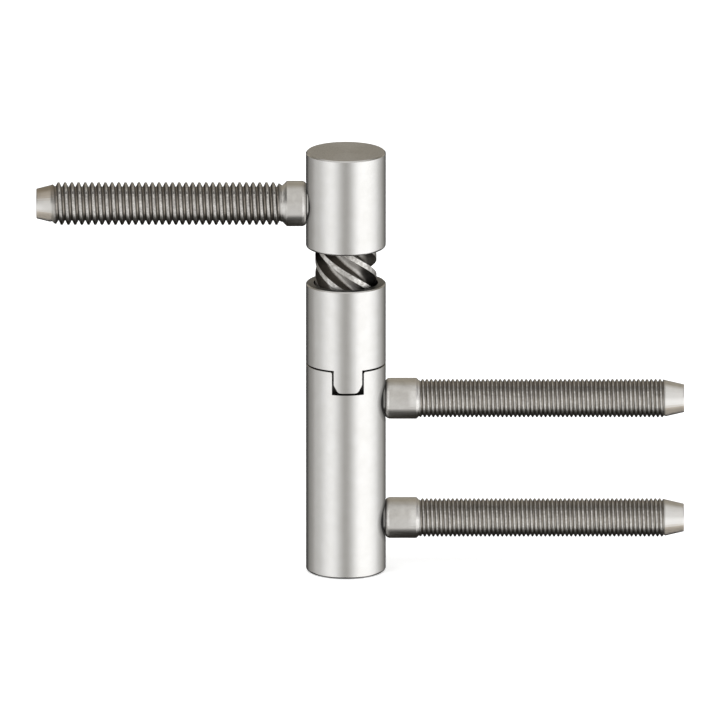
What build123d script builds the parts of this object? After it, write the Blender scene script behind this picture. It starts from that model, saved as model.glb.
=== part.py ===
from build123d import *
import os

# Rising drill-in hinge. Millimetres, +Z up along the hinge axis, origin at the centre of the
# frame barrel's foot. The frame pins point to +X, the door pin to -X, the notch faces nearly -Y.

os.makedirs("parts", exist_ok=True)

# Barrels
barrel_d = 15.0
frame_barrel_h = 40.2
sleeve_h = 15.5
door_barrel_h = 18.4
lift_gap = 6.95
foot_round = 0.5
skirt_round = 0.5
crown_break = 0.25
rim_break = 0.2

# Six-start left-handed screw that lifts the door as it turns
helix_lead = 23.0
helix_starts = 6
groove_d = 4.7
groove_depth = 1.75
front_land_drop = 3.9
screw_reach = 0.2
screw_lead_in = 0.6
helix_play = 0.15

# Travel down from the pictured pose
landing_gap = 0.1
well_room = 0.3

# Nut and the ring under it, both pressed into the sleeve
sleeve_wall = 0.9
nut_wall = 0.85
nut_h = 9.0
lip_h = 1.5
lip_play = 0.3
key_w = 2.0
key_h = 0.4
key_l = 6.0
key_play = 0.05
key_count = 2
key_first_angle = 60
key_spread = 60
ring_reach = 1.0
ring_end_room = 0.1
ring_play = 0.05
ring_break = 0.2

# Tongue of the sleeve in the notch of the frame barrel
notch_turn = 3.2
notch_w = 6.0
notch_depth = 4.52
notch_overcut = 1.0
notch_mouth_round = 0.6
tongue_side_play = 0.33
tongue_end_play = 0.4
tongue_taper_w = 0.85
tongue_taper_h = 1.5
tongue_round = 0.8
tongue_root_h = 1.0

# Spindle shank in the door barrel
door_wall = 2.5
crown_wall = 3.0
shank_break = 0.3

# Guide pin, its bush and the wells round them
guide_d = 5.0
guide_play = 0.05
guide_head_h = 2.2
guide_head_break = 0.3
guide_tip_break = 0.6
head_seat_gap = 0.05
head_room = 0.3
head_side_room = 0.7
bush_wall = 1.45
bush_h = 19.0
bush_break = 0.3
pilot_ledge = 1.0
pilot_h = 3.0
tip_room = 0.4
well_play = 0.35

# What both kinds of drill-in pin share
spigot_d = 6.15
spigot_break = 0.3
hole_end_room = 0.1
seat_flat = 0.05
seat_play = 0.1

# Coarse door pin, one, on the left
door_pin_drop = 0.88
door_pin_web = 0.6
door_collar_d = 8.5
door_collar_l = 3.6
door_collar_break = 0.3
door_thread_d = 8.0
door_neck_d = 6.8
door_thread_l = 44.45
door_tip_l = 2.5
door_tip_d = 5.58

# Fine frame pins, two, on the right
frame_pin_foot_inset = 10.0
frame_pin_top_inset = 7.0
frame_pin_web = 0.8
frame_collar_d = 7.7
frame_collar_l = 5.8
frame_collar_break = 0.3
frame_thread_d = 7.2
frame_neck_d = 6.8
frame_thread_l = 46.81
frame_tip_l = 3.44
frame_tip_d = 5.22

# Heights and radii that follow from the sizes above
barrel_r = barrel_d / 2
nut_r = barrel_r - sleeve_wall
helix_r = nut_r - nut_wall
shank_r = barrel_r - door_wall
guide_head_r = shank_r - head_side_room
guide_bore_r = guide_d / 2 + guide_play
bush_r = guide_bore_r + bush_wall
pilot_r = bush_r - pilot_ledge
well_r = helix_r + well_play
lip_r = helix_r + lip_play
seat_x = barrel_r - seat_flat
frame_spigot_x = guide_bore_r + frame_pin_web
door_spigot_x = guide_bore_r + door_pin_web
sleeve_top = frame_barrel_h + sleeve_h
nut_top = sleeve_top - lip_h
nut_foot = nut_top - nut_h
door_foot = sleeve_top + lift_gap
screw_foot = nut_foot - screw_reach
screw_h = door_foot - screw_foot
descent = lift_gap - landing_gap
well_floor = screw_foot - descent - well_room
ring_foot = frame_barrel_h - ring_reach
tongue_w = notch_w - 2 * tongue_side_play
tongue_l = notch_depth - tongue_end_play
tongue_foot = frame_barrel_h - tongue_l
bush_foot = well_floor - bush_h
pilot_floor = bush_foot - pilot_h
guide_tip = pilot_floor + tip_room + descent
door_bore_top = door_foot + door_barrel_h - crown_wall
head_top = door_bore_top - head_room
head_foot = head_top - guide_head_h
shank_h = head_foot - head_seat_gap - door_foot
door_pin_z = door_foot + door_barrel_h / 2 - door_pin_drop
frame_pin_heights = {
    "frame_pin_lower": frame_pin_foot_inset,
    "frame_pin_upper": frame_barrel_h - frame_pin_top_inset,
}

notch_face = Plane.XZ.rotated((0, 0, notch_turn))

top_of = (Align.CENTER, Align.MAX)
foot_of = (Align.CENTER, Align.MIN)


def screw_section(z, play):
    """Round bar with a round-bottomed groove between each pair of lands."""
    land_angle = -90 - 360 * (z - (door_foot - front_land_drop)) / helix_lead
    groove_centre_r = helix_r - groove_depth + groove_d / 2
    with BuildSketch(Plane.XY.offset(z)) as section:
        Circle(helix_r + play)
        with PolarLocations(groove_centre_r, helix_starts, land_angle + 180 / helix_starts):
            Circle(groove_d / 2 - play, mode=Mode.SUBTRACT)
    return section.sketch


def screw_path(z, height):
    """Straight path up the hinge axis and the left-handed helix that turns the section."""
    with BuildLine() as path:
        Line((0, 0, z), (0, 0, z + height))
    with BuildLine() as guide:
        Helix(helix_lead, height, helix_r, center=(0, 0, z), lefthand=True)
    return path.edge(), guide.edge()


def pin_plane(z, side):
    """Plane whose x runs out along a pin and whose y is the pin's radius."""
    return Plane(origin=(0, 0, z), x_dir=(side, 0, 0), z_dir=(0, -side, 0))


def pin_profile(plane, spigot_x, collar, thread, tip):
    """Half outline of a drill-in pin: spigot, collar, threaded length and coned tip."""
    collar_d, collar_l, collar_break = collar
    thread_d, neck_d, thread_l = thread
    tip_d, tip_l = tip
    collar_end = seat_x + collar_l
    thread_start = collar_end + (collar_d - neck_d) / 2
    crest_rise = (thread_d - neck_d) / 2
    thread_end = collar_end + thread_l
    with BuildSketch(plane) as profile:
        with BuildLine():
            Polyline(
                (spigot_x, 0),
                (spigot_x, spigot_d / 2 - spigot_break),
                (spigot_x + spigot_break, spigot_d / 2),
                (seat_x, spigot_d / 2),
                (seat_x, collar_d / 2 - collar_break),
                (seat_x + collar_break, collar_d / 2),
                (collar_end, collar_d / 2),
                (thread_start, neck_d / 2),
                (thread_start + crest_rise, thread_d / 2),
                (thread_end - crest_rise, thread_d / 2),
                (thread_end, neck_d / 2),
                (thread_end + tip_l, tip_d / 2),
                (thread_end + tip_l, 0),
                close=True,
            )
        make_face()
    return profile.sketch


# Frame barrel: foot closed, bored for the bush, opened to a well for the screw
with BuildPart() as frame_barrel:
    with BuildSketch():
        Circle(barrel_r)
    extrude(amount=frame_barrel_h)
    fillet(frame_barrel.edges().sort_by(Axis.Z)[0], foot_round)
    chamfer(frame_barrel.edges().sort_by(Axis.Z)[-1], rim_break)
    with BuildSketch(Plane.XZ):
        with BuildLine():
            Polyline(
                (0, pilot_floor),
                (pilot_r, pilot_floor),
                (pilot_r, bush_foot),
                (bush_r, bush_foot),
                (bush_r, well_floor),
                (well_r, well_floor),
                (well_r, ring_foot - ring_end_room),
                (nut_r + ring_play, ring_foot - ring_end_room),
                (nut_r + ring_play, frame_barrel_h),
                (0, frame_barrel_h),
                close=True,
            )
        make_face()
    revolve(axis=Axis.Z, mode=Mode.SUBTRACT)
    with BuildSketch(notch_face.offset(barrel_r)) as notch:
        with Locations((0, frame_barrel_h)):
            Rectangle(notch_w, notch_depth, align=top_of)
            Rectangle(notch_w + 4 * notch_mouth_round, notch_mouth_round, align=foot_of)
        mouth = notch.vertices().group_by(Axis.Y)[1].sort_by(Axis.X)
        fillet((mouth[1], mouth[2]), notch_mouth_round)
    extrude(amount=-(barrel_r - well_r + notch_overcut), mode=Mode.SUBTRACT)
    for pin_height in frame_pin_heights.values():
        with BuildSketch(Plane.YZ.offset(frame_spigot_x - hole_end_room)):
            with Locations((0, pin_height)):
                Circle(spigot_d / 2)
        extrude(amount=barrel_r, mode=Mode.SUBTRACT)
        with BuildSketch(Plane.YZ.offset(seat_x)):
            with Locations((0, pin_height)):
                Circle(frame_collar_d / 2 + seat_play)
        extrude(amount=barrel_r, mode=Mode.SUBTRACT)

frame_barrel.part.label = "frame_barrel"
export_step(frame_barrel.part, "parts/frame_barrel.step")

# Tongue: a piece of the sleeve's own tube wall, tapered and rounded towards its foot
with BuildPart() as tongue:
    with BuildSketch(Plane.XY.offset(tongue_foot)):
        Circle(barrel_r)
        Circle(nut_r, mode=Mode.SUBTRACT)
    extrude(amount=tongue_l + tongue_root_h)
    with BuildSketch(notch_face) as tongue_face:
        with BuildLine():
            Polyline(
                (-tongue_w / 2, frame_barrel_h + tongue_root_h),
                (-tongue_w / 2, tongue_foot + tongue_taper_h),
                (tongue_taper_w - tongue_w / 2, tongue_foot),
                (tongue_w / 2 - tongue_taper_w, tongue_foot),
                (tongue_w / 2, tongue_foot + tongue_taper_h),
                (tongue_w / 2, frame_barrel_h + tongue_root_h),
                close=True,
            )
        make_face()
        fillet(tongue_face.vertices().sort_by(Axis.Y)[:4], tongue_round)
    extrude(amount=barrel_r, mode=Mode.INTERSECT)

# Sleeve: a tube with a lip over the nut and two keyways open at its foot
with BuildPart() as middle_sleeve:
    with BuildSketch(Plane.XZ):
        with BuildLine():
            Polyline(
                (nut_r, frame_barrel_h),
                (barrel_r - rim_break, frame_barrel_h),
                (barrel_r, frame_barrel_h + rim_break),
                (barrel_r, sleeve_top - rim_break),
                (barrel_r - rim_break, sleeve_top),
                (lip_r, sleeve_top),
                (lip_r, nut_top),
                (nut_r, nut_top),
                close=True,
            )
        make_face()
    revolve(axis=Axis.Z)
    with BuildSketch(Plane.XY.offset(frame_barrel_h)):
        with PolarLocations(nut_r, key_count, key_first_angle, key_spread, endpoint=True):
            Rectangle(2 * (key_h + key_play), key_w + 2 * key_play)
    extrude(amount=nut_foot + key_l + key_play - frame_barrel_h, mode=Mode.SUBTRACT)
    add(tongue.part)

middle_sleeve.part.label = "middle_sleeve"
export_step(middle_sleeve.part, "parts/middle_sleeve.step")

# Nut: the screw's section with play round it, cut through a keyed bush
nut_path, nut_guide = screw_path(nut_foot, nut_h)
with BuildPart() as helix_nut:
    with BuildSketch(Plane.XY.offset(nut_foot)):
        Circle(nut_r)
    extrude(amount=nut_h)
    with BuildSketch(Plane.XY.offset(nut_foot)):
        with PolarLocations(nut_r, key_count, key_first_angle, key_spread, endpoint=True):
            Rectangle(2 * key_h, key_w)
    extrude(amount=key_l)
    sweep(
        screw_section(nut_foot, helix_play),
        path=nut_path,
        binormal=nut_guide,
        mode=Mode.SUBTRACT,
    )

helix_nut.part.label = "helix_nut"
export_step(helix_nut.part, "parts/helix_nut.step")

# Ring under the nut; its foot centres the sleeve in the frame barrel
with BuildPart() as centring_ring:
    with BuildSketch(Plane.XY.offset(ring_foot)):
        Circle(nut_r)
        Circle(lip_r, mode=Mode.SUBTRACT)
    extrude(amount=nut_foot - ring_foot)
    chamfer(centring_ring.edges().group_by(Axis.Z)[0].sort_by(SortBy.RADIUS)[-1], ring_break)

centring_ring.part.label = "centring_ring"
export_step(centring_ring.part, "parts/centring_ring.step")

# Bush for the guide pin, locked by the ends of the frame pins
with BuildPart() as guide_bush:
    with BuildSketch(Plane.XY.offset(bush_foot)):
        Circle(bush_r)
        Circle(guide_bore_r, mode=Mode.SUBTRACT)
    extrude(amount=bush_h)
    chamfer(guide_bush.edges().group_by(Axis.Z)[-1].sort_by(SortBy.RADIUS)[0], bush_break)
    for pin_height in frame_pin_heights.values():
        with BuildSketch(Plane.YZ.offset(frame_spigot_x - hole_end_room)):
            with Locations((0, pin_height)):
                Circle(spigot_d / 2)
        extrude(amount=bush_r, mode=Mode.SUBTRACT)

guide_bush.part.label = "guide_bush"
export_step(guide_bush.part, "parts/guide_bush.step")

# Guide pin: hangs by its head on the spindle and slides in the bush
with BuildPart() as guide_pin:
    with BuildSketch(Plane.XZ):
        with BuildLine():
            Polyline(
                (0, guide_tip),
                (guide_d / 2 - guide_tip_break, guide_tip),
                (guide_d / 2, guide_tip + guide_tip_break),
                (guide_d / 2, head_foot),
                (guide_head_r, head_foot),
                (guide_head_r, head_top - guide_head_break),
                (guide_head_r - guide_head_break, head_top),
                (0, head_top),
                close=True,
            )
        make_face()
    revolve(axis=Axis.Z)

guide_pin.part.label = "guide_pin"
export_step(guide_pin.part, "parts/guide_pin.step")

# Spindle: screw below, plain shank above, bored for the guide pin
spindle_path, spindle_guide = screw_path(screw_foot, screw_h)
with BuildPart() as helix_spindle:
    sweep(screw_section(screw_foot, 0), path=spindle_path, binormal=spindle_guide)
    with BuildSketch(Plane.XY.offset(door_foot)):
        Circle(shank_r)
    extrude(amount=shank_h)
    chamfer(helix_spindle.edges().sort_by(Axis.Z)[-1], shank_break)
    with BuildSketch(Plane.XZ):
        with BuildLine():
            Polyline(
                (helix_r - screw_lead_in, screw_foot),
                (helix_r + screw_lead_in, screw_foot),
                (helix_r + screw_lead_in, screw_foot + 2 * screw_lead_in),
                close=True,
            )
        make_face()
    revolve(axis=Axis.Z, mode=Mode.SUBTRACT)
    with BuildSketch(Plane.XY.offset(screw_foot)):
        Circle(guide_bore_r)
    extrude(amount=screw_h + shank_h, mode=Mode.SUBTRACT)
    with BuildSketch(Plane.YZ.offset(-(door_spigot_x - hole_end_room))):
        with Locations((0, door_pin_z)):
            Circle(spigot_d / 2)
    extrude(amount=-shank_r, mode=Mode.SUBTRACT)

helix_spindle.part.label = "helix_spindle"
export_step(helix_spindle.part, "parts/helix_spindle.step")

# Door barrel: crown closed, bored from below for the shank and the guide pin's head
with BuildPart() as door_barrel:
    with BuildSketch(Plane.XY.offset(door_foot)):
        Circle(barrel_r)
    extrude(amount=door_barrel_h)
    fillet(door_barrel.edges().sort_by(Axis.Z)[0], skirt_round)
    chamfer(door_barrel.edges().sort_by(Axis.Z)[-1], crown_break)
    with BuildSketch(Plane.XY.offset(door_foot)):
        Circle(shank_r)
    extrude(amount=door_bore_top - door_foot, mode=Mode.SUBTRACT)
    with BuildSketch(Plane.YZ):
        with Locations((0, door_pin_z)):
            Circle(spigot_d / 2)
    extrude(amount=-barrel_r, mode=Mode.SUBTRACT)
    with BuildSketch(Plane.YZ.offset(-seat_x)):
        with Locations((0, door_pin_z)):
            Circle(door_collar_d / 2 + seat_play)
    extrude(amount=-barrel_r, mode=Mode.SUBTRACT)

door_barrel.part.label = "door_barrel"
export_step(door_barrel.part, "parts/door_barrel.step")

# Door pin: coarse thread for wood
door_pin_plane = pin_plane(door_pin_z, -1)
door_pin_profile = pin_profile(
    door_pin_plane,
    door_spigot_x,
    (door_collar_d, door_collar_l, door_collar_break),
    (door_thread_d, door_neck_d, door_thread_l),
    (door_tip_d, door_tip_l),
)
with BuildPart() as door_pin:
    revolve(door_pin_profile, axis=Axis(door_pin_plane.origin, door_pin_plane.x_dir))

door_pin.part.label = "door_pin"
export_step(door_pin.part, "parts/door_pin.step")

# Frame pins: two alike, fine thread
for pin_name, pin_height in frame_pin_heights.items():
    frame_pin_plane = pin_plane(pin_height, 1)
    frame_pin_profile = pin_profile(
        frame_pin_plane,
        frame_spigot_x,
        (frame_collar_d, frame_collar_l, frame_collar_break),
        (frame_thread_d, frame_neck_d, frame_thread_l),
        (frame_tip_d, frame_tip_l),
    )
    with BuildPart() as frame_pin:
        revolve(frame_pin_profile, axis=Axis(frame_pin_plane.origin, frame_pin_plane.x_dir))
    frame_pin.part.label = pin_name
    export_step(frame_pin.part, f"parts/{pin_name}.step")
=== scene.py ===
import math

import bmesh
import bpy
from mathutils import Matrix, Vector


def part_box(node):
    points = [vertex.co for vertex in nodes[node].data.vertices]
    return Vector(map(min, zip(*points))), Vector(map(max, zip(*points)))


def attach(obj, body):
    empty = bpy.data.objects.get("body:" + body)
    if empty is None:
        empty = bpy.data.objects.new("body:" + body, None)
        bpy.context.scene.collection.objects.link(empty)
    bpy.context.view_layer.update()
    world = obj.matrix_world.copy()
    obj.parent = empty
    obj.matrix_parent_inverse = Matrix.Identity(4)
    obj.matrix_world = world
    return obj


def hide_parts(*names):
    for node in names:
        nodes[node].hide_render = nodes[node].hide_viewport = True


# Rising drill-in hinge: looks, threads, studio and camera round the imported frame.
# Sizes in the dictionaries are millimetres, colours are linear, +Z is up the hinge axis.
# A tilt says how far a face looks up, from -1 straight down to 1 straight up.
# Where two pairs stand together, the first is where a value fades and the second from what to what.

mm = 0.001
barrelAxis = (0, 0, 1)
pinAxis = (1, 0, 0)

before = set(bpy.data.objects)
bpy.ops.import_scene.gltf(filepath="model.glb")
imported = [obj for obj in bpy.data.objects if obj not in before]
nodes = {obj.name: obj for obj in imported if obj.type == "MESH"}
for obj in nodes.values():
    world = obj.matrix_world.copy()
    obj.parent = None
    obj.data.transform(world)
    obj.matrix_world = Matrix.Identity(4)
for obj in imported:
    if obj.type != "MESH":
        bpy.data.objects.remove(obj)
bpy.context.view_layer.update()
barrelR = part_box("frame_barrel")[1].x / mm
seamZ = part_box("frame_barrel")[1].z
print("frame loaded,", len(nodes), "nodes")


def inMetres(sizes):
    return [size * mm for size in sizes]


# Node helpers

def setInputs(tree, node, inputs):
    for key, value in inputs.items():
        if isinstance(value, bpy.types.NodeSocket):
            tree.links.new(value, node.inputs[key])
        else:
            node.inputs[key].default_value = value


def addNode(tree, kind, inputs=None, **settings):
    node = tree.nodes.new(kind)
    for key, value in settings.items():
        setattr(node, key, value)
    setInputs(tree, node, inputs or {})
    return node


def addMath(tree, operation, a, b=0.0):
    return addNode(tree, "ShaderNodeMath", {0: a, 1: b}, operation=operation).outputs[0]


def addProduct(tree, first, *others):
    for other in others:
        first = addMath(tree, "MULTIPLY", first, other)
    return first


def addVectorMath(tree, operation, *vectors, scale=None):
    inputs = dict(enumerate(vectors))
    if scale is not None:
        inputs["Scale"] = scale
    node = addNode(tree, "ShaderNodeVectorMath", inputs, operation=operation)
    return node.outputs["Value" if operation in ("DOT_PRODUCT", "LENGTH") else "Vector"]


def addBlend(tree, mask, low, high, kind="MIX"):
    # inputs 6 and 7 and output 2 are the colour sockets of a Mix node
    inputs = {0: mask, 6: low, 7: high}
    return addNode(tree, "ShaderNodeMix", inputs, data_type="RGBA", blend_type=kind).outputs[2]


def addRange(tree, value, span, levels=(0.0, 1.0), smooth=False):
    inputs = dict(enumerate((value, *span, *levels)))
    kind = "SMOOTHSTEP" if smooth else "LINEAR"
    return addNode(tree, "ShaderNodeMapRange", inputs, interpolation_type=kind, clamp=True).outputs[0]


def addFade(tree, mask, levels):
    return addRange(tree, mask, (0.0, 1.0), levels)


def readPlace(tree):
    return addNode(tree, "ShaderNodeTexCoord").outputs["Object"]


def splitAxes(tree, vector):
    return addNode(tree, "ShaderNodeSeparateXYZ", {0: vector}).outputs


def readTilt(tree):
    return splitAxes(tree, addNode(tree, "ShaderNodeNewGeometry").outputs["True Normal"])


def newGroup(name, inputs, outputs):
    group = bpy.data.node_groups.new(name, "ShaderNodeTree")
    for label, (kind, value) in inputs.items():
        socket = group.interface.new_socket(label, in_out="INPUT", socket_type="NodeSocket" + kind)
        socket.default_value = value
    for label, kind in outputs.items():
        group.interface.new_socket(label, in_out="OUTPUT", socket_type="NodeSocket" + kind)
    return group, group.nodes.new("NodeGroupInput").outputs, group.nodes.new("NodeGroupOutput")


def useGroup(tree, group, inputs):
    return addNode(tree, "ShaderNodeGroup", inputs, node_tree=group).outputs


def newMaterial(name):
    material = bpy.data.materials.new(name)
    material.use_nodes = True
    tree = material.node_tree
    return material, tree, tree.nodes["Principled BSDF"]


# Shared effects

effects = {
    "markDrift": 90.0,  # how fast the turning marks change along a groove, per metre
    "markDetail": 4.0,
    "markBump": 0.02,
    "mottleDetail": 6.0,
    "mottleRoughness": 0.62,
    "gapShadeTone": 0.04,  # what is left of the colour in the painted shade of the seam and at the edge of a pin's hole
    "seamFade": 1.7,
    "holeEdge": 0.12,
    "grainTurn": 0.25,  # a quarter turn, so the grain runs round the axis
}


def buildTurningMarks(look):
    group, enter, leave = newGroup(
        "turningMarks",
        {"Axis": ("Vector", barrelAxis), "Pitch": ("Float", 0.1), "Depth": ("Float", 0.1)},
        {"Marks": "Float", "Normal": "Vector"},
    )
    place = readPlace(group)
    along = addVectorMath(group, "DOT_PRODUCT", place, enter["Axis"])
    cycles = addMath(group, "DIVIDE", along, addProduct(group, enter["Pitch"], mm))
    grooves = addVectorMath(group, "SCALE", enter["Axis"], scale=cycles)
    drift = addVectorMath(group, "SCALE", place, scale=look["markDrift"])
    pattern = addVectorMath(group, "ADD", grooves, drift)
    noise = addNode(group, "ShaderNodeTexNoise", {
        "Vector": pattern, "Scale": 1.0, "Detail": look["markDetail"],
    })
    bump = addNode(group, "ShaderNodeBump", {
        "Strength": enter["Depth"], "Distance": look["markBump"] * mm, "Height": noise.outputs[0],
    })
    setInputs(group, leave, {"Marks": noise.outputs[0], "Normal": bump.outputs[0]})
    return group


def buildMottle(look):
    group, enter, leave = newGroup(
        "mottle", {"Size": ("Float", 1.0), "Contrast": ("Float", 0.2)}, {"Mask": "Float"})
    noise = addNode(group, "ShaderNodeTexNoise", {
        "Vector": readPlace(group), "Scale": addMath(group, "DIVIDE", 1 / mm, enter["Size"]),
        "Detail": look["mottleDetail"], "Roughness": look["mottleRoughness"],
    })
    low = addMath(group, "SUBTRACT", 0.5, enter["Contrast"])
    high = addMath(group, "ADD", 0.5, enter["Contrast"])
    setInputs(group, leave, {"Mask": addRange(group, noise.outputs[0], (low, high))})
    return group


def buildAxisRadius():
    group, enter, leave = newGroup("axisRadius", {"Axis": ("Vector", barrelAxis)}, {"Radius": "Float"})
    across = addVectorMath(group, "CROSS_PRODUCT", readPlace(group), enter["Axis"])
    setInputs(group, leave, {"Radius": addVectorMath(group, "LENGTH", across)})
    return group


def buildSeamShade(look):
    group, enter, leave = newGroup(
        "seamShade",
        {"Height": ("Float", 0.0), "Half": ("Float", 0.0001), "Tongue Centre": ("Float", 0.0),
         "Tongue Half": ("Float", 0.001)},
        {"Shade": "Float"},
    )
    # painted shade: a dark band along the seam, left off where the tongue crosses it
    place = splitAxes(group, readPlace(group))
    away = addMath(group, "ABSOLUTE", addMath(group, "SUBTRACT", place["Z"], enter["Height"]))
    clear = addProduct(group, enter["Half"], look["seamFade"])
    seam = addRange(group, away, (enter["Half"], clear), (look["gapShadeTone"], 1.0))
    aside = addMath(group, "ABSOLUTE", addMath(group, "SUBTRACT", place["X"], enter["Tongue Centre"]))
    front = addMath(group, "LESS_THAN", place["Y"], 0.0)
    tongue = addProduct(group, front, addMath(group, "LESS_THAN", aside, enter["Tongue Half"]))
    setInputs(group, leave, {"Shade": addMath(group, "MAXIMUM", seam, tongue)})
    return group


def buildSeatShade(look):
    group, enter, leave = newGroup(
        "seatShade",
        {"Centre": ("Vector", (0, 0, 0)), "Side": ("Float", 1.0), "Hole": ("Float", 0.003),
         "Halo": ("Float", 0.001), "Depth": ("Float", 0.5)},
        {"Shade": "Float"},
    )
    # painted shade: a dark rim at the edge of the pin's hole, and round it a fainter halo of painted
    # reflection of the collar
    place = readPlace(group)
    offset = addVectorMath(group, "SUBTRACT", place, enter["Centre"])
    radius = addVectorMath(group, "LENGTH", addVectorMath(group, "CROSS_PRODUCT", offset, pinAxis))
    outward = addProduct(group, splitAxes(group, place)["X"], enter["Side"])
    onSide = addMath(group, "GREATER_THAN", outward, 0.0)
    edge = addMath(group, "ADD", enter["Hole"], look["holeEdge"] * mm)
    rim = addRange(group, radius, (enter["Hole"], edge), (look["gapShadeTone"], 1.0))
    haloEnd = addMath(group, "ADD", edge, enter["Halo"])
    haloTone = addMath(group, "SUBTRACT", 1.0, enter["Depth"])
    halo = addRange(group, radius, (edge, haloEnd), (haloTone, 1.0))
    setInputs(group, leave, {"Shade": addFade(group, onSide, (1.0, addProduct(group, rim, halo)))})
    return group


turningMarks = buildTurningMarks(effects)
mottle = buildMottle(effects)
axisRadius = buildAxisRadius()
seamShade = buildSeamShade(effects)
seatShade = buildSeatShade(effects)


def addMottle(tree, size, contrast):
    return useGroup(tree, mottle, {"Size": size, "Contrast": contrast})["Mask"]


def addMarks(tree, axis, pitch, depth):
    return useGroup(tree, turningMarks, {"Axis": axis, "Pitch": pitch, "Depth": depth})


def turnGrain(tree, surface, axis, anisotropy):
    tangent = addNode(tree, "ShaderNodeTangent", direction_type="RADIAL", axis=axis)
    setInputs(tree, surface, {
        "Tangent": tangent.outputs[0],
        "Anisotropic": anisotropy,
        "Anisotropic Rotation": effects["grainTurn"],
    })


# Satin nickel plate on the three barrels, with painted shade where they meet; the frame barrel and sleeve
# get grease and painted shade on their tops

satinNickel = {
    "bright": (0.82, 0.812, 0.80, 1),
    "dull": (0.78, 0.77, 0.752, 1),
    "patches": (2.5, 0.16),
    "sideMarks": (0.12, 0.06),
    "roughness": ((0.2, 0.8), (0.20, 0.25)),
    "anisotropy": 0.55,
    "topTilt": (0.9, 0.98),
    "topGrains": (0.22, 0.12),
    "topGrainAndShadeTone": (0.80, 1.0),
    "topBump": (0.5, 0.02),
    "topRoughness": 0.36,
    "topFrontShadeTone": 1.0,
    "topFrontEnd": 0.2,
    "insideShadeTone": ((0.8, 0.95), (0.06, 0.35)),
    "skinDepth": (0.32, 0.22),
    "seamHalf": 0.11,
    "tongueCentre": 0.42,
    "tongueHalf": 2.66,
    "seats": {"door_pin": {"side": -1, "hole": 3.3, "halo": 0.7, "strength": 0.3}},
}
frameSeat = {"side": 1, "hole": 3.5, "halo": 1.1, "strength": 0.62}
# tops darkened partly by grease and partly by painted shade, most towards the front
greasedAndShadedNickel = {
    **satinNickel,
    "topGrainAndShadeTone": (0.20, 0.46),
    "topRoughness": 0.42,
    "topFrontShadeTone": 0.35,
    "seats": {"frame_pin_upper": frameSeat, "frame_pin_lower": frameSeat},
}


def shadeSide(tree, tilt, look):
    radius = useGroup(tree, axisRadius, {"Axis": barrelAxis})["Radius"]
    # painted shade on faces inside the barrels' skin, less deep on faces that look along X
    inside = addRange(tree, addMath(tree, "ABSOLUTE", tilt["X"]), *look["insideShadeTone"])
    skin = inMetres(barrelR - depth for depth in look["skinDepth"])
    shades = [addRange(tree, radius, skin, (inside, 1.0))]
    shades.append(useGroup(tree, seamShade, {
        "Height": seamZ, "Half": look["seamHalf"] * mm,
        "Tongue Centre": look["tongueCentre"] * mm, "Tongue Half": look["tongueHalf"] * mm,
    })["Shade"])
    for pinNode, seat in look["seats"].items():
        low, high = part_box(pinNode)
        shades.append(useGroup(tree, seatShade, {
            "Centre": (low + high) / 2, "Side": seat["side"], "Hole": seat["hole"] * mm,
            "Halo": seat["halo"] * mm, "Depth": seat["strength"],
        })["Shade"])
    return addProduct(tree, *shades)


def makeSatinNickel(name, look):
    material, tree, surface = newMaterial(name)
    tilt = readTilt(tree)
    top = addRange(tree, tilt["Z"], look["topTilt"])
    grains = addMottle(tree, *look["topGrains"])
    marks = addMarks(tree, barrelAxis, *look["sideMarks"])

    # the tops get painted shade towards the front, and their grain
    frontSpan = inMetres((-barrelR, look["topFrontEnd"] * barrelR))
    front = addRange(tree, splitAxes(tree, readPlace(tree))["Y"], frontSpan, (look["topFrontShadeTone"], 1.0))
    topShade = addProduct(tree, front, addFade(tree, grains, look["topGrainAndShadeTone"]))
    shade = addFade(tree, top, (shadeSide(tree, tilt, look), topShade))
    colour = addBlend(tree, addMottle(tree, *look["patches"]), look["bright"], look["dull"])

    sideRoughness = addRange(tree, marks["Marks"], *look["roughness"])
    bumpStrength, bumpDistance = look["topBump"]
    bump = addNode(tree, "ShaderNodeBump", {
        "Strength": addProduct(tree, top, bumpStrength), "Distance": bumpDistance * mm,
        "Height": grains, "Normal": marks["Normal"],
    })
    setInputs(tree, surface, {
        "Base Color": addBlend(tree, 1.0, colour, shade, "MULTIPLY"),
        "Roughness": addFade(tree, top, (sideRoughness, look["topRoughness"])),
        "Metallic": 1.0,
        "Normal": bump.outputs[0],
    })
    turnGrain(tree, surface, "Z", look["anisotropy"])
    return material


# Oiled steel of the screw, its lands worn bright, its grooves darkened with painted shade

screwSteel = {
    "land": (0.87, 0.855, 0.83, 1),
    "landScar": (0.45, 0.43, 0.40, 1),
    "scars": (0.7, 0.14),
    "scarBump": (0.25, 0.03),
    "landRoughness": (0.42, 0.32),
    "landStart": (5.63, 5.73),
    "groove": (0.74, 0.715, 0.685, 1),
    "grooveStain": (0.50, 0.475, 0.44, 1),
    "stains": (1.8, 0.2),
    "grooveRoughness": 0.40,
    "grooveMetal": 0.45,
    "grooveShade": (0.10, 0.09, 0.078, 1),
    "grooveShadeTilt": (0.25, 0.55),
    "grooveShadeAside": ((2.0, 3.4), (0.0, 0.78)),
}


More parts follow.
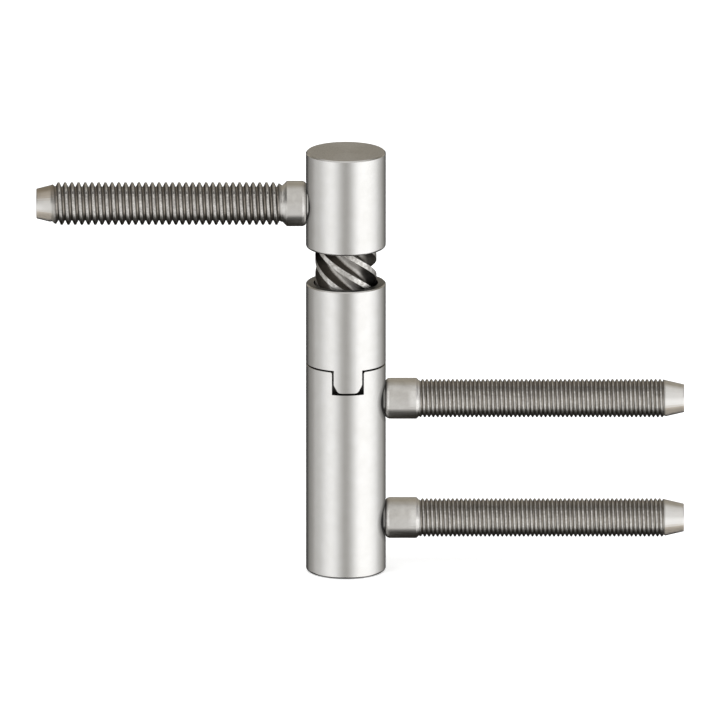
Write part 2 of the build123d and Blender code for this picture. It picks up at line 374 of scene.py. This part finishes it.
def makeScrewSteel(look):
    material, tree, surface = newMaterial("oiledScrewSteelShadedGrooves")
    radius = useGroup(tree, axisRadius, {"Axis": barrelAxis})["Radius"]
    onLand = addRange(tree, radius, inMetres(look["landStart"]))
    scars = addMottle(tree, *look["scars"])
    landColour = addBlend(tree, scars, look["landScar"], look["land"])
    grooveColour = addBlend(tree, addMottle(tree, *look["stains"]), look["grooveStain"], look["groove"])

    # painted shade darkens the grooves where they look up, and all over their right side
    asideSpan, asideLevels = look["grooveShadeAside"]
    across = splitAxes(tree, readPlace(tree))["X"]
    grooveShaded = addMath(tree, "MAXIMUM", addRange(tree, readTilt(tree)["Z"], look["grooveShadeTilt"], smooth=True),
                    addRange(tree, across, inMetres(asideSpan), asideLevels, smooth=True))
    grooveColour = addBlend(tree, grooveShaded, grooveColour, look["grooveShade"])

    landRoughness = addFade(tree, scars, look["landRoughness"])
    bumpStrength, bumpDistance = look["scarBump"]
    bump = addNode(tree, "ShaderNodeBump", {
        "Strength": bumpStrength, "Distance": bumpDistance * mm, "Height": scars,
    })
    setInputs(tree, surface, {
        "Base Color": addBlend(tree, onLand, grooveColour, landColour),
        "Roughness": addFade(tree, onLand, (look["grooveRoughness"], landRoughness)),
        "Metallic": addFade(tree, addMath(tree, "MAXIMUM", onLand, grooveShaded), (look["grooveMetal"], 1.0)),
        "Normal": bump.outputs[0],
    })
    return material


# Rolled steel of the pins: dull in the roots, with painted highlights on crests, collars and tips and
# painted shade on flanks and on faces tilted up or down

pinSteel = {
    "root": (0.52, 0.475, 0.42, 1),
    "flankShade": (0.115, 0.10, 0.082, 1),
    "crest": (0.97, 0.945, 0.91, 1),
    "flankRise": (0.08, 0.3),  # shares of the thread's height
    "crestRise": (0.58, 0.92),
    "threadStain": (0.25, 0.22, 0.185, 1),
    "threadStains": (0.0, 0.45),
    "threadRoughness": (0.28, 0.42),
    "shadeBelow": ((-0.70, -0.58), (0.45, 1.0)),
    "shadeLine": ((0.60, 0.68), (1.0, 0.30)),
    "shadeLift": ((0.73, 0.80), (0.0, 0.45)),
    "grimeBlotches": (0.78, 1.12),
    "plain": (0.85, 0.835, 0.805, 1),
    "stain": (0.74, 0.72, 0.69, 1),
    "blotches": (1.6, 0.16),
    "specks": (0.35, 0.15),
    "plainRoughness": (0.38, 0.32),
    # the colour of the painted highlights on tips and collars
    "bright": (0.92, 0.905, 0.88, 1),
    "highlightMetal": 0.7,
    "highlightTilt": 0.22,
    "collarHighlight": ((0.2, 0.5), (1.0, 0.0)),  # by how far a face is tilted from highlightTilt, for the painted highlight
    "tipHighlight": ((0.2, 0.75), (1.0, 0.1)),
    "rimAt": 7.95,
    "rimHalf": 0.2,
    "wearAndHighlightStart": (11.6, 12.4),
    "wearAndHighlightSpecks": (1.0, 0.6),
    "tipStart": 40.0,
    "tipStrengths": (0.42, 1.0),  # on the door's side and on the frame's
    "doorTipTopShade": (0.66, 0.60, 0.53, 1),
    "doorTipShadeTilt": (0.30, 0.66),
    "underTipShade": (0.80, 0.73, 0.64, 1),
    "underTipTilt": ((-0.40, -0.12), (1.0, 0.0)),
    "underTipEdge": (-0.86, -0.66),
    "underTipMetal": 0.42,
    "seatAt": 7.45,
    "seatEdge": 0.03,
    "seatDeep": (-0.45, -0.35),
    "seatDeepTone": 0.05,
    "doorSeatGlint": ((-0.2, -0.14), (0.95, 0.12)),
    "frameSeatGlint": 0.40,
    "marks": (0.1, 0.15),
    "anisotropy": 0.8,
}


def colourThread(tree, upward, blotches, specks, look):
    crest = addNode(tree, "ShaderNodeAttribute", attribute_name="crest").outputs["Fac"]
    # painted light across each thread: a painted highlight on the crest, painted shade on the flanks, and
    # the root left lighter as a painted reflection
    colour = addBlend(tree, addRange(tree, crest, look["flankRise"]), look["root"], look["flankShade"])
    colour = addBlend(tree, addRange(tree, crest, look["crestRise"]), colour, look["crest"])
    colour = addBlend(tree, addFade(tree, specks, look["threadStains"]), colour, look["threadStain"])
    # painted shade by tilt: a dark band where the thread looks up, lightening again further up, and
    # darker where it looks far down
    shadeBands = addMath(tree, "ADD", addRange(tree, upward, *look["shadeLine"], smooth=True),
                    addRange(tree, upward, *look["shadeLift"], smooth=True))
    below = addRange(tree, upward, *look["shadeBelow"], smooth=True)
    tone = addProduct(tree, shadeBands, below, addFade(tree, blotches, look["grimeBlotches"]))
    return addBlend(tree, 1.0, colour, tone, "MULTIPLY")


def paintSteelHighlights(tree, along, reach, upward, specks, look):
    # painted highlights on faces tilted near highlightTilt: over the tips, on the collar's inner rim, and
    # from wearAndHighlightStart on, where specks vary their strength as wear
    away = addMath(tree, "ABSOLUTE", addMath(tree, "SUBTRACT", upward, look["highlightTilt"]))
    onTip = addMath(tree, "GREATER_THAN", reach, look["tipStart"] * mm)
    tipHighlight = addProduct(tree, onTip, addRange(tree, away, *look["tipHighlight"], smooth=True),
                           addRange(tree, along, (-mm, mm), look["tipStrengths"]))
    fromRim = addMath(tree, "ABSOLUTE", addMath(tree, "SUBTRACT", reach, look["rimAt"] * mm))
    onRim = addMath(tree, "LESS_THAN", fromRim, look["rimHalf"] * mm)
    wearAndHighlightTone = addFade(tree, specks, look["wearAndHighlightSpecks"])
    wearAndHighlight = addRange(tree, reach, inMetres(look["wearAndHighlightStart"]), (0.0, wearAndHighlightTone))
    collarHighlight = addProduct(tree, addMath(tree, "MAXIMUM", onRim, wearAndHighlight),
                              addRange(tree, away, *look["collarHighlight"], smooth=True),
                              addMath(tree, "SUBTRACT", 1.0, onTip))
    return onTip, addMath(tree, "MAXIMUM", tipHighlight, collarHighlight)


def shadeSeat(tree, along, reach, look):
    inward = addMath(tree, "SUBTRACT", reach, look["seatAt"] * mm)
    glintSpan, glintLevels = look["doorSeatGlint"]
    doorGlint = addRange(tree, inward, inMetres(glintSpan), glintLevels)
    glint = addRange(tree, along, (-mm, mm), (doorGlint, look["frameSeatGlint"]))
    inSeat = addRange(tree, inward, inMetres(look["seatDeep"]), (look["seatDeepTone"], glint))
    return addRange(tree, inward, inMetres((-look["seatEdge"], look["seatEdge"])), (inSeat, 1.0))


def makePinSteel(look):
    material, tree, surface = newMaterial("rolledPinSteel")
    plain = addNode(tree, "ShaderNodeAttribute", attribute_name="plain").outputs["Fac"]
    blotches = addMottle(tree, *look["blotches"])
    specks = addMottle(tree, *look["specks"])
    along = splitAxes(tree, readPlace(tree))["X"]
    reach = addMath(tree, "ABSOLUTE", along)
    upward = readTilt(tree)["Z"]

    # painted highlights lighten the plain steel of tips and collars, not the thread
    onTip, bright = paintSteelHighlights(tree, along, reach, upward, specks, look)
    bright = addProduct(tree, plain, bright)
    plainColour = addBlend(tree, blotches, look["stain"], look["plain"])
    plainColour = addBlend(tree, bright, plainColour, look["bright"])
    # painted shade on the door pin's tip where it looks up
    onDoorTip = addMath(tree, "LESS_THAN", along, -look["tipStart"] * mm)
    topShaded = addProduct(tree, onDoorTip, addRange(tree, upward, look["doorTipShadeTilt"], smooth=True))
    plainColour = addBlend(tree, topShaded, plainColour, look["doorTipTopShade"], "MULTIPLY")
    # painted shade, warm and less metallic, on the tips' faces that look partly down
    underShade = addProduct(tree, addRange(tree, upward, *look["underTipTilt"], smooth=True),
                       addRange(tree, upward, look["underTipEdge"], smooth=True), onTip, plain)
    plainColour = addBlend(tree, underShade, plainColour, look["underTipShade"], "MULTIPLY")

    threadColour = colourThread(tree, upward, blotches, specks, look)
    colour = addBlend(tree, plain, threadColour, plainColour)
    seatTone = shadeSeat(tree, along, reach, look)
    threadRoughness = addFade(tree, specks, look["threadRoughness"])
    plainRoughness = addFade(tree, blotches, look["plainRoughness"])
    setInputs(tree, surface, {
        "Base Color": addBlend(tree, 1.0, colour, seatTone, "MULTIPLY"),
        "Roughness": addFade(tree, plain, (threadRoughness, plainRoughness)),
        "Metallic": addMath(tree, "MINIMUM", addFade(tree, bright, (1.0, look["highlightMetal"])),
                            addFade(tree, underShade, (1.0, look["underTipMetal"]))),
        "Normal": addMarks(tree, pinAxis, *look["marks"])["Normal"],
    })
    turnGrain(tree, surface, "X", look["anisotropy"])
    return material


# Pieces inside the barrels

innerLooks = {
    "groundSteel": {
        "pale": (0.62, 0.61, 0.60, 1), "dark": (0.50, 0.49, 0.47, 1), "roughness": (0.18, 0.26),
        "metallic": 1.0, "marks": (0.08, 0.1),
    },
    "greasedBlackAcetal": {
        "pale": (0.030, 0.029, 0.028, 1), "dark": (0.016, 0.015, 0.014, 1), "roughness": (0.28, 0.45),
        "metallic": 0.0, "marks": (0.3, 0.12), "smears": (3.0, 0.2),
    },
    "naturalAcetal": {
        "pale": (0.74, 0.73, 0.69, 1), "dark": (0.66, 0.65, 0.60, 1), "roughness": (0.42, 0.52),
        "metallic": 0.0, "marks": (0.3, 0.12), "smears": (3.0, 0.2),
    },
}


def makeInnerFinish(name):
    look = innerLooks[name]
    material, tree, surface = newMaterial(name)
    marks = addMarks(tree, barrelAxis, *look["marks"])
    mask = addMottle(tree, *look["smears"]) if "smears" in look else marks["Marks"]
    setInputs(tree, surface, {
        "Base Color": addBlend(tree, mask, look["dark"], look["pale"]),
        "Roughness": addFade(tree, mask, look["roughness"]),
        "Metallic": look["metallic"],
        "Normal": marks["Normal"],
    })
    return material


greasedAndShadedPlate = makeSatinNickel("greasedAndShadedNickelPlate", greasedAndShadedNickel)
rolledSteel = makePinSteel(pinSteel)
groundSteel = makeInnerFinish("groundSteel")
finishes = {
    "frame_barrel": greasedAndShadedPlate,
    "middle_sleeve": greasedAndShadedPlate,
    "door_barrel": makeSatinNickel("satinNickelPlate", satinNickel),
    "helix_spindle": makeScrewSteel(screwSteel),
    "guide_pin": groundSteel,
    "centring_ring": groundSteel,
    "helix_nut": makeInnerFinish("greasedBlackAcetal"),
    "guide_bush": makeInnerFinish("naturalAcetal"),
}
for nodeName, finish in finishes.items():
    for slot in nodes[nodeName].material_slots:
        slot.material = finish
print("finishes on", len(finishes), "carried-over pieces")


# Drill-in pins with their threads

pinEnds = {
    "collarEase": 0.06,
    "tipEase": 0.1,
    "seatRound": ((0.69, 0.0), (0.3, 0.135), (0.0, 0.42)),  # out from the seat, in from the collar's side
    "spigotD": 6.15,
    "spigotBreak": 0.3,
}
doorPin = {
    **pinEnds,
    "crestD": 8.0, "rootD": 6.35, "neckD": 6.8, "pitch": 1.257, "crestFlat": 0.36, "rootFlat": 0.14,
    "ease": 0.035, "turnSteps": 44, "firstCrest": 0.42, "startRun": 0.9, "endRun": 1.6,
    "collarD": 8.5, "collarL": 3.6, "threadL": 44.45, "tipD": 5.58,
}
framePin = {
    **pinEnds,
    "crestD": 7.2, "rootD": 6.35, "neckD": 6.8, "pitch": 0.81, "crestFlat": 0.25, "rootFlat": 0.11,
    "ease": 0.025, "turnSteps": 40, "firstCrest": 0.73, "startRun": 0.4, "endRun": 0.6,
    "collarD": 7.7, "collarL": 5.8, "threadL": 46.81, "tipD": 5.22,
}
seatFlat = 0.05  # how far a collar is let into the barrel's side
seatX = barrelR - seatFlat
spareTurns = 2  # spun past each end of the thread and cut off there
weldPart = 6  # points closer than this part of the ease become one
cutSnap = 1e-5  # points this near a cut count as lying on it
ringTolerance = 1e-4


def roundedOutline(corners, ease):
    # each corner is cut off, with two points on either side so that it shades as a round
    points = [corners[0]]
    for before, corner, after in zip(corners, corners[1:], corners[2:]):
        for end, distance in ((before, 3 * ease), (before, ease), (after, ease), (after, 3 * ease)):
            run = Vector(end) - Vector(corner)
            points.append(tuple(Vector(corner) + run.normalized() * min(distance, 0.4 * run.length)))
    return points + [corners[-1]]


def onePitch(pin):
    crestR, rootR, pitch = pin["crestD"] / 2, pin["rootD"] / 2, pin["pitch"]
    crestEnd = pin["crestFlat"] / 2
    rootStart = (pitch - pin["rootFlat"]) / 2
    corners = [(0, crestR), (crestEnd, crestR), (rootStart, rootR)]
    corners += [(pitch - x, r) for x, r in reversed(corners)]
    return roundedOutline(corners, pin["ease"])


def wholeMesh(mesh):
    return list(mesh.verts) + list(mesh.edges) + list(mesh.faces)


def cutThread(mesh, pin, start, end):
    # one pitch of the outline, spun into a turn, which is then copied along the pin
    pitch = pin["pitch"]
    firstX = start + pin["firstCrest"] - spareTurns * pitch
    row = [mesh.verts.new((firstX + x, 0, r)) for x, r in onePitch(pin)]
    strip = [mesh.edges.new(pair) for pair in zip(row, row[1:])]
    bmesh.ops.spin(mesh, geom=row + strip, cent=(0, 0, 0), axis=pinAxis, angle=2 * math.pi,
                   dvec=(pitch / pin["turnSteps"], 0, 0), steps=pin["turnSteps"],
                   use_merge=False, use_duplicate=False)
    turns = 1
    while firstX + turns * pitch < end:
        copied = bmesh.ops.duplicate(mesh, geom=wholeMesh(mesh))["geom"]
        copiedVerts = [item for item in copied if isinstance(item, bmesh.types.BMVert)]
        bmesh.ops.translate(mesh, verts=copiedVerts, vec=(turns * pitch, 0, 0))
        turns *= 2
    beyond = [vert for vert in mesh.verts if vert.co.x > end + spareTurns * pitch]
    bmesh.ops.delete(mesh, geom=beyond, context="VERTS")
    bmesh.ops.remove_doubles(mesh, verts=mesh.verts, dist=pin["ease"] / weldPart)


def flattenRunOuts(mesh, pin, start, end, crestLayer, plainLayer):
    # the thread sinks into the plain neck towards both ends, and two layers tell the finish
    # how high in the thread a point lies and how far it belongs to plain steel
    crestR, rootR, neckR = pin["crestD"] / 2, pin["rootD"] / 2, pin["neckD"] / 2
    for vert in mesh.verts:
        radius = math.hypot(vert.co.y, vert.co.z)
        rise = (vert.co.x - start) / pin["startRun"]
        fall = (end - vert.co.x) / pin["endRun"]
        depth = max(0.0, min(1.0, rise, fall))
        newRadius = neckR + depth * (radius - neckR)
        vert.co.y *= newRadius / radius
        vert.co.z *= newRadius / radius
        vert[crestLayer] = (newRadius - rootR) / (crestR - rootR)
        vert[plainLayer] = 1.0 - depth
    for x, outward in ((start, -1), (end, 1)):
        bmesh.ops.bisect_plane(mesh, geom=wholeMesh(mesh), dist=cutSnap, plane_co=(x, 0, 0),
                               plane_no=(outward, 0, 0), clear_outer=True)


def isEndEdge(edge, x):
    return edge.is_boundary and all(abs(vert.co.x - x) < ringTolerance for vert in edge.verts)


def drawOut(mesh, startR, outline):
    # a turned end, drawn on from the open ring of edges where the outline starts
    place, radius = outline[0][0], startR
    ring = [edge for edge in mesh.edges if isEndEdge(edge, place)]
    for x, r in outline[1:]:
        made = bmesh.ops.extrude_edge_only(mesh, edges=ring)["geom"]
        verts = [item for item in made if isinstance(item, bmesh.types.BMVert)]
        edges = [item for item in made if isinstance(item, bmesh.types.BMEdge)]
        ring = [edge for edge in edges if all(vert in verts for vert in edge.verts)]
        bmesh.ops.translate(mesh, verts=verts, vec=(x - place, 0, 0))
        bmesh.ops.scale(mesh, verts=verts, vec=(1, r / radius, r / radius))
        place, radius = x, r
    bmesh.ops.edgenet_fill(mesh, edges=ring)


def buildPin(name, pin, side):
    low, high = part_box(name)
    innerX, tipX = sorted((abs(low.x) / mm, abs(high.x) / mm))
    neckR, collarR, spigotR = pin["neckD"] / 2, pin["collarD"] / 2, pin["spigotD"] / 2
    spigotBreak = pin["spigotBreak"]
    collarEnd = seatX + pin["collarL"]
    threadStart = collarEnd + collarR - neckR
    threadEnd = collarEnd + pin["threadL"]
    mesh = bmesh.new()
    crestLayer = mesh.verts.layers.float.new("crest")
    plainLayer = mesh.verts.layers.float.new("plain")
    cutThread(mesh, pin, threadStart, threadEnd)
    flattenRunOuts(mesh, pin, threadStart, threadEnd, crestLayer, plainLayer)
    threadVerts = set(mesh.verts)

    # each outline ends half-way in on the pin's end face, which is then filled
    collar = [(threadStart, neckR), (collarEnd, collarR)]
    collar += [(seatX + along, collarR - inward) for along, inward in pin["seatRound"]]
    collar += [(seatX, spigotR), (innerX + spigotBreak, spigotR)]
    collar += [(innerX, spigotR - spigotBreak), (innerX, spigotR / 2)]
    tip = [(threadEnd, neckR), (tipX, pin["tipD"] / 2), (tipX, pin["tipD"] / 4)]
    drawOut(mesh, neckR, roundedOutline(collar, pin["collarEase"]))
    drawOut(mesh, neckR, roundedOutline(tip, pin["tipEase"]))
    for vert in mesh.verts:
        if vert not in threadVerts:
            vert[plainLayer] = 1.0

    bmesh.ops.recalc_face_normals(mesh, faces=mesh.faces)
    bmesh.ops.scale(mesh, verts=mesh.verts, vec=(mm, mm, mm))
    turned = Matrix.Rotation(0 if side > 0 else math.pi, 4, "Z")
    height = (low.z + high.z) / 2
    bmesh.ops.transform(mesh, verts=mesh.verts, matrix=Matrix.Translation((0, 0, height)) @ turned)
    for face in mesh.faces:
        face.smooth = True
    data = bpy.data.meshes.new(name + "_threaded")
    mesh.to_mesh(data)
    mesh.free()
    piece = bpy.data.objects.new(name + "_threaded", data)
    bpy.context.scene.collection.objects.link(piece)
    data.materials.append(rolledSteel)
    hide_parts(name)
    return piece


pins = {
    "door_pin": (doorPin, -1, "door"),
    "frame_pin_upper": (framePin, 1, "frame"),
    "frame_pin_lower": (framePin, 1, "frame"),
}
for pinName, (pinValues, pinSide, body) in pins.items():
    pinPiece = buildPin(pinName, pinValues, pinSide)
    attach(pinPiece, body)
    pinPiece.visible_glossy = False
    print(pinPiece.name, len(pinPiece.data.polygons), "faces")


# Studio: what the metal sees, soft lamps, pale floor

studio = {
    # brightness seen in polished metal, by degrees round from the camera, right positive
    "belt": {-180: 0.07, -150: 0.06, -126: 0.33, -93: 0.60, -43: 1.08, 0: 0.44, 45: 1.28, 62: 1.28,
             163: 0.12, 180: 0.07},
    "fillColour": (1.0, 0.975, 0.93, 1),
    "boxColour": (1.0, 1.0, 0.995, 1),
    "boxLevel": (0.3, 0.8),
    "frontAbove": (0.68, 0.67, 0.65, 1),
    "backAbove": (0.36, 0.33, 0.275, 1),
    "aboveTurn": (-0.12, 0.6),
    "below": (0.03, 0.028, 0.025, 1),
    "beltLow": (-0.92, -0.65),
    "beltHigh": (0.0, 0.30),
    # behind the object the pale table ends higher, and both upper sides are dark
    "tableEnd": ((0.05, 0.30), (0.0, 0.42)),
    "sideFlags": ((0.55, 0.80), (1.0, 0.12)),
    "ambient": (0.55, 0.55, 0.55, 1),
    "backdrop": (1, 1, 1, 1),
}


def paintBelt(tree, axes, look):
    azimuth = addMath(tree, "ARCTAN2", axes["X"], addProduct(tree, axes["Y"], -1.0))
    ramp = addNode(tree, "ShaderNodeValToRGB", {0: addRange(tree, azimuth, (-math.pi, math.pi))})
    ramp.color_ramp.interpolation = "EASE"
    stops = ramp.color_ramp.elements
    peak = max(look["belt"].values())
    while len(stops) > 1:
        stops.remove(stops[-1])
    for index, (degrees, level) in enumerate(look["belt"].items()):
        stop = stops[0] if index == 0 else stops.new(1.0)
        stop.position = (degrees + 180) / 360
        stop.color = (level / peak, level / peak, level / peak, 1)
    level = addProduct(tree, ramp.outputs[0], peak)
    tint = addBlend(tree, addRange(tree, level, look["boxLevel"]), look["fillColour"], look["boxColour"])
    return addVectorMath(tree, "SCALE", tint, scale=level)


def lightStudio(look):
    world = bpy.data.worlds.new("studio")
    bpy.context.scene.world = world
    world.use_nodes = True
    tree = world.node_tree
    tree.nodes.clear()
    axes = splitAxes(tree, addNode(tree, "ShaderNodeTexCoord").outputs["Generated"])
    belt = paintBelt(tree, axes, look)
    lift = addRange(tree, axes["Y"], *look["tableEnd"], smooth=True)
    lower = addRange(tree, addMath(tree, "SUBTRACT", axes["Z"], lift), look["beltLow"], smooth=True)
    upper = addRange(tree, axes["Z"], look["beltHigh"], smooth=True)
    behind = addRange(tree, axes["Y"], look["aboveTurn"], smooth=True)
    above = addBlend(tree, behind, look["frontAbove"], look["backAbove"])
    flags = addRange(tree, addMath(tree, "ABSOLUTE", axes["X"]), *look["sideFlags"], smooth=True)
    above = addBlend(tree, 1.0, above, flags, "MULTIPLY")
    seen = addBlend(tree, upper, addBlend(tree, lower, look["below"], belt), above)
    path = addNode(tree, "ShaderNodeLightPath").outputs
    light = addBlend(tree, path["Is Glossy Ray"], look["ambient"], seen)
    final = addBlend(tree, path["Is Camera Ray"], light, look["backdrop"])
    background = addNode(tree, "ShaderNodeBackground", {"Color": final, "Strength": 1.0})
    addNode(tree, "ShaderNodeOutputWorld", {"Surface": background.outputs[0]})


lamps = {
    "keyLamp": {"place": (-520, -620, 760), "size": 620, "power": 3.2},
    "fillLamp": {"place": (640, -520, 560), "size": 620, "power": 2.2},
    "topLamp": {"place": (0, 120, 900), "size": 800, "power": 2.4},
}


def hangLamps(setups, aim):
    for name, setup in setups.items():
        data = bpy.data.lights.new(name, "AREA")
        data.shape = "DISK"
        data.size = setup["size"] * mm
        data.energy = setup["power"]
        lamp = bpy.data.objects.new(name, data)
        lamp.location = Vector(setup["place"]) * mm
        lamp.rotation_euler = (aim - lamp.location).to_track_quat("-Z", "Y").to_euler()
        lamp.visible_glossy = False
        bpy.context.scene.collection.objects.link(lamp)


floorLook = {
    "size": 6000,
    "drop": 0.1,
    "colour": (0.88, 0.88, 0.88, 1),
    "glow": (1, 1, 1, 1),
    "cameraLift": 0.45,  # glow towards the camera alone, so the floor stays white round the shadow
}


def layFloor(look):
    mesh = bmesh.new()
    bmesh.ops.create_grid(mesh, x_segments=4, y_segments=4, size=look["size"] / 2 * mm)
    bmesh.ops.translate(mesh, verts=mesh.verts, vec=(0, 0, -look["drop"] * mm))
    data = bpy.data.meshes.new("floor")
    mesh.to_mesh(data)
    mesh.free()
    floor = bpy.data.objects.new("floor", data)
    bpy.context.scene.collection.objects.link(floor)
    material, tree, surface = newMaterial("paleFloor")
    path = addNode(tree, "ShaderNodeLightPath").outputs
    setInputs(tree, surface, {
        "Base Color": look["colour"],
        "Roughness": 1.0,
        "Specular IOR Level": 0.0,
        "Emission Color": look["glow"],
        "Emission Strength": addProduct(tree, path["Is Camera Ray"], look["cameraLift"]),
    })
    data.materials.append(material)
    floor.visible_glossy = False


cameraSetup = {
    "elevation": 15.0,
    "distance": 6000,
    "aim": (2.65, 0, 40.62),
    "lens": 1599.0,
    "sensor": 36,
    "clipStart": 50,
}


def setCamera(setup):
    data = bpy.data.cameras.new("photoCamera")
    data.sensor_width = setup["sensor"]
    data.lens = setup["lens"]
    data.clip_start = setup["clipStart"] * mm
    camera = bpy.data.objects.new("photoCamera", data)
    tilt = math.radians(setup["elevation"])
    back = Vector((0, -math.cos(tilt), math.sin(tilt))) * setup["distance"]
    camera.location = (Vector(setup["aim"]) + back) * mm
    camera.rotation_euler = (math.pi / 2 - tilt, 0, 0)
    bpy.context.scene.collection.objects.link(camera)
    bpy.context.scene.camera = camera


lightStudio(studio)
hangLamps(lamps, Vector(cameraSetup["aim"]) * mm)
layFloor(floorLook)
setCamera(cameraSetup)
bpy.context.scene.view_settings.view_transform = "Standard"
print("studio and camera set")
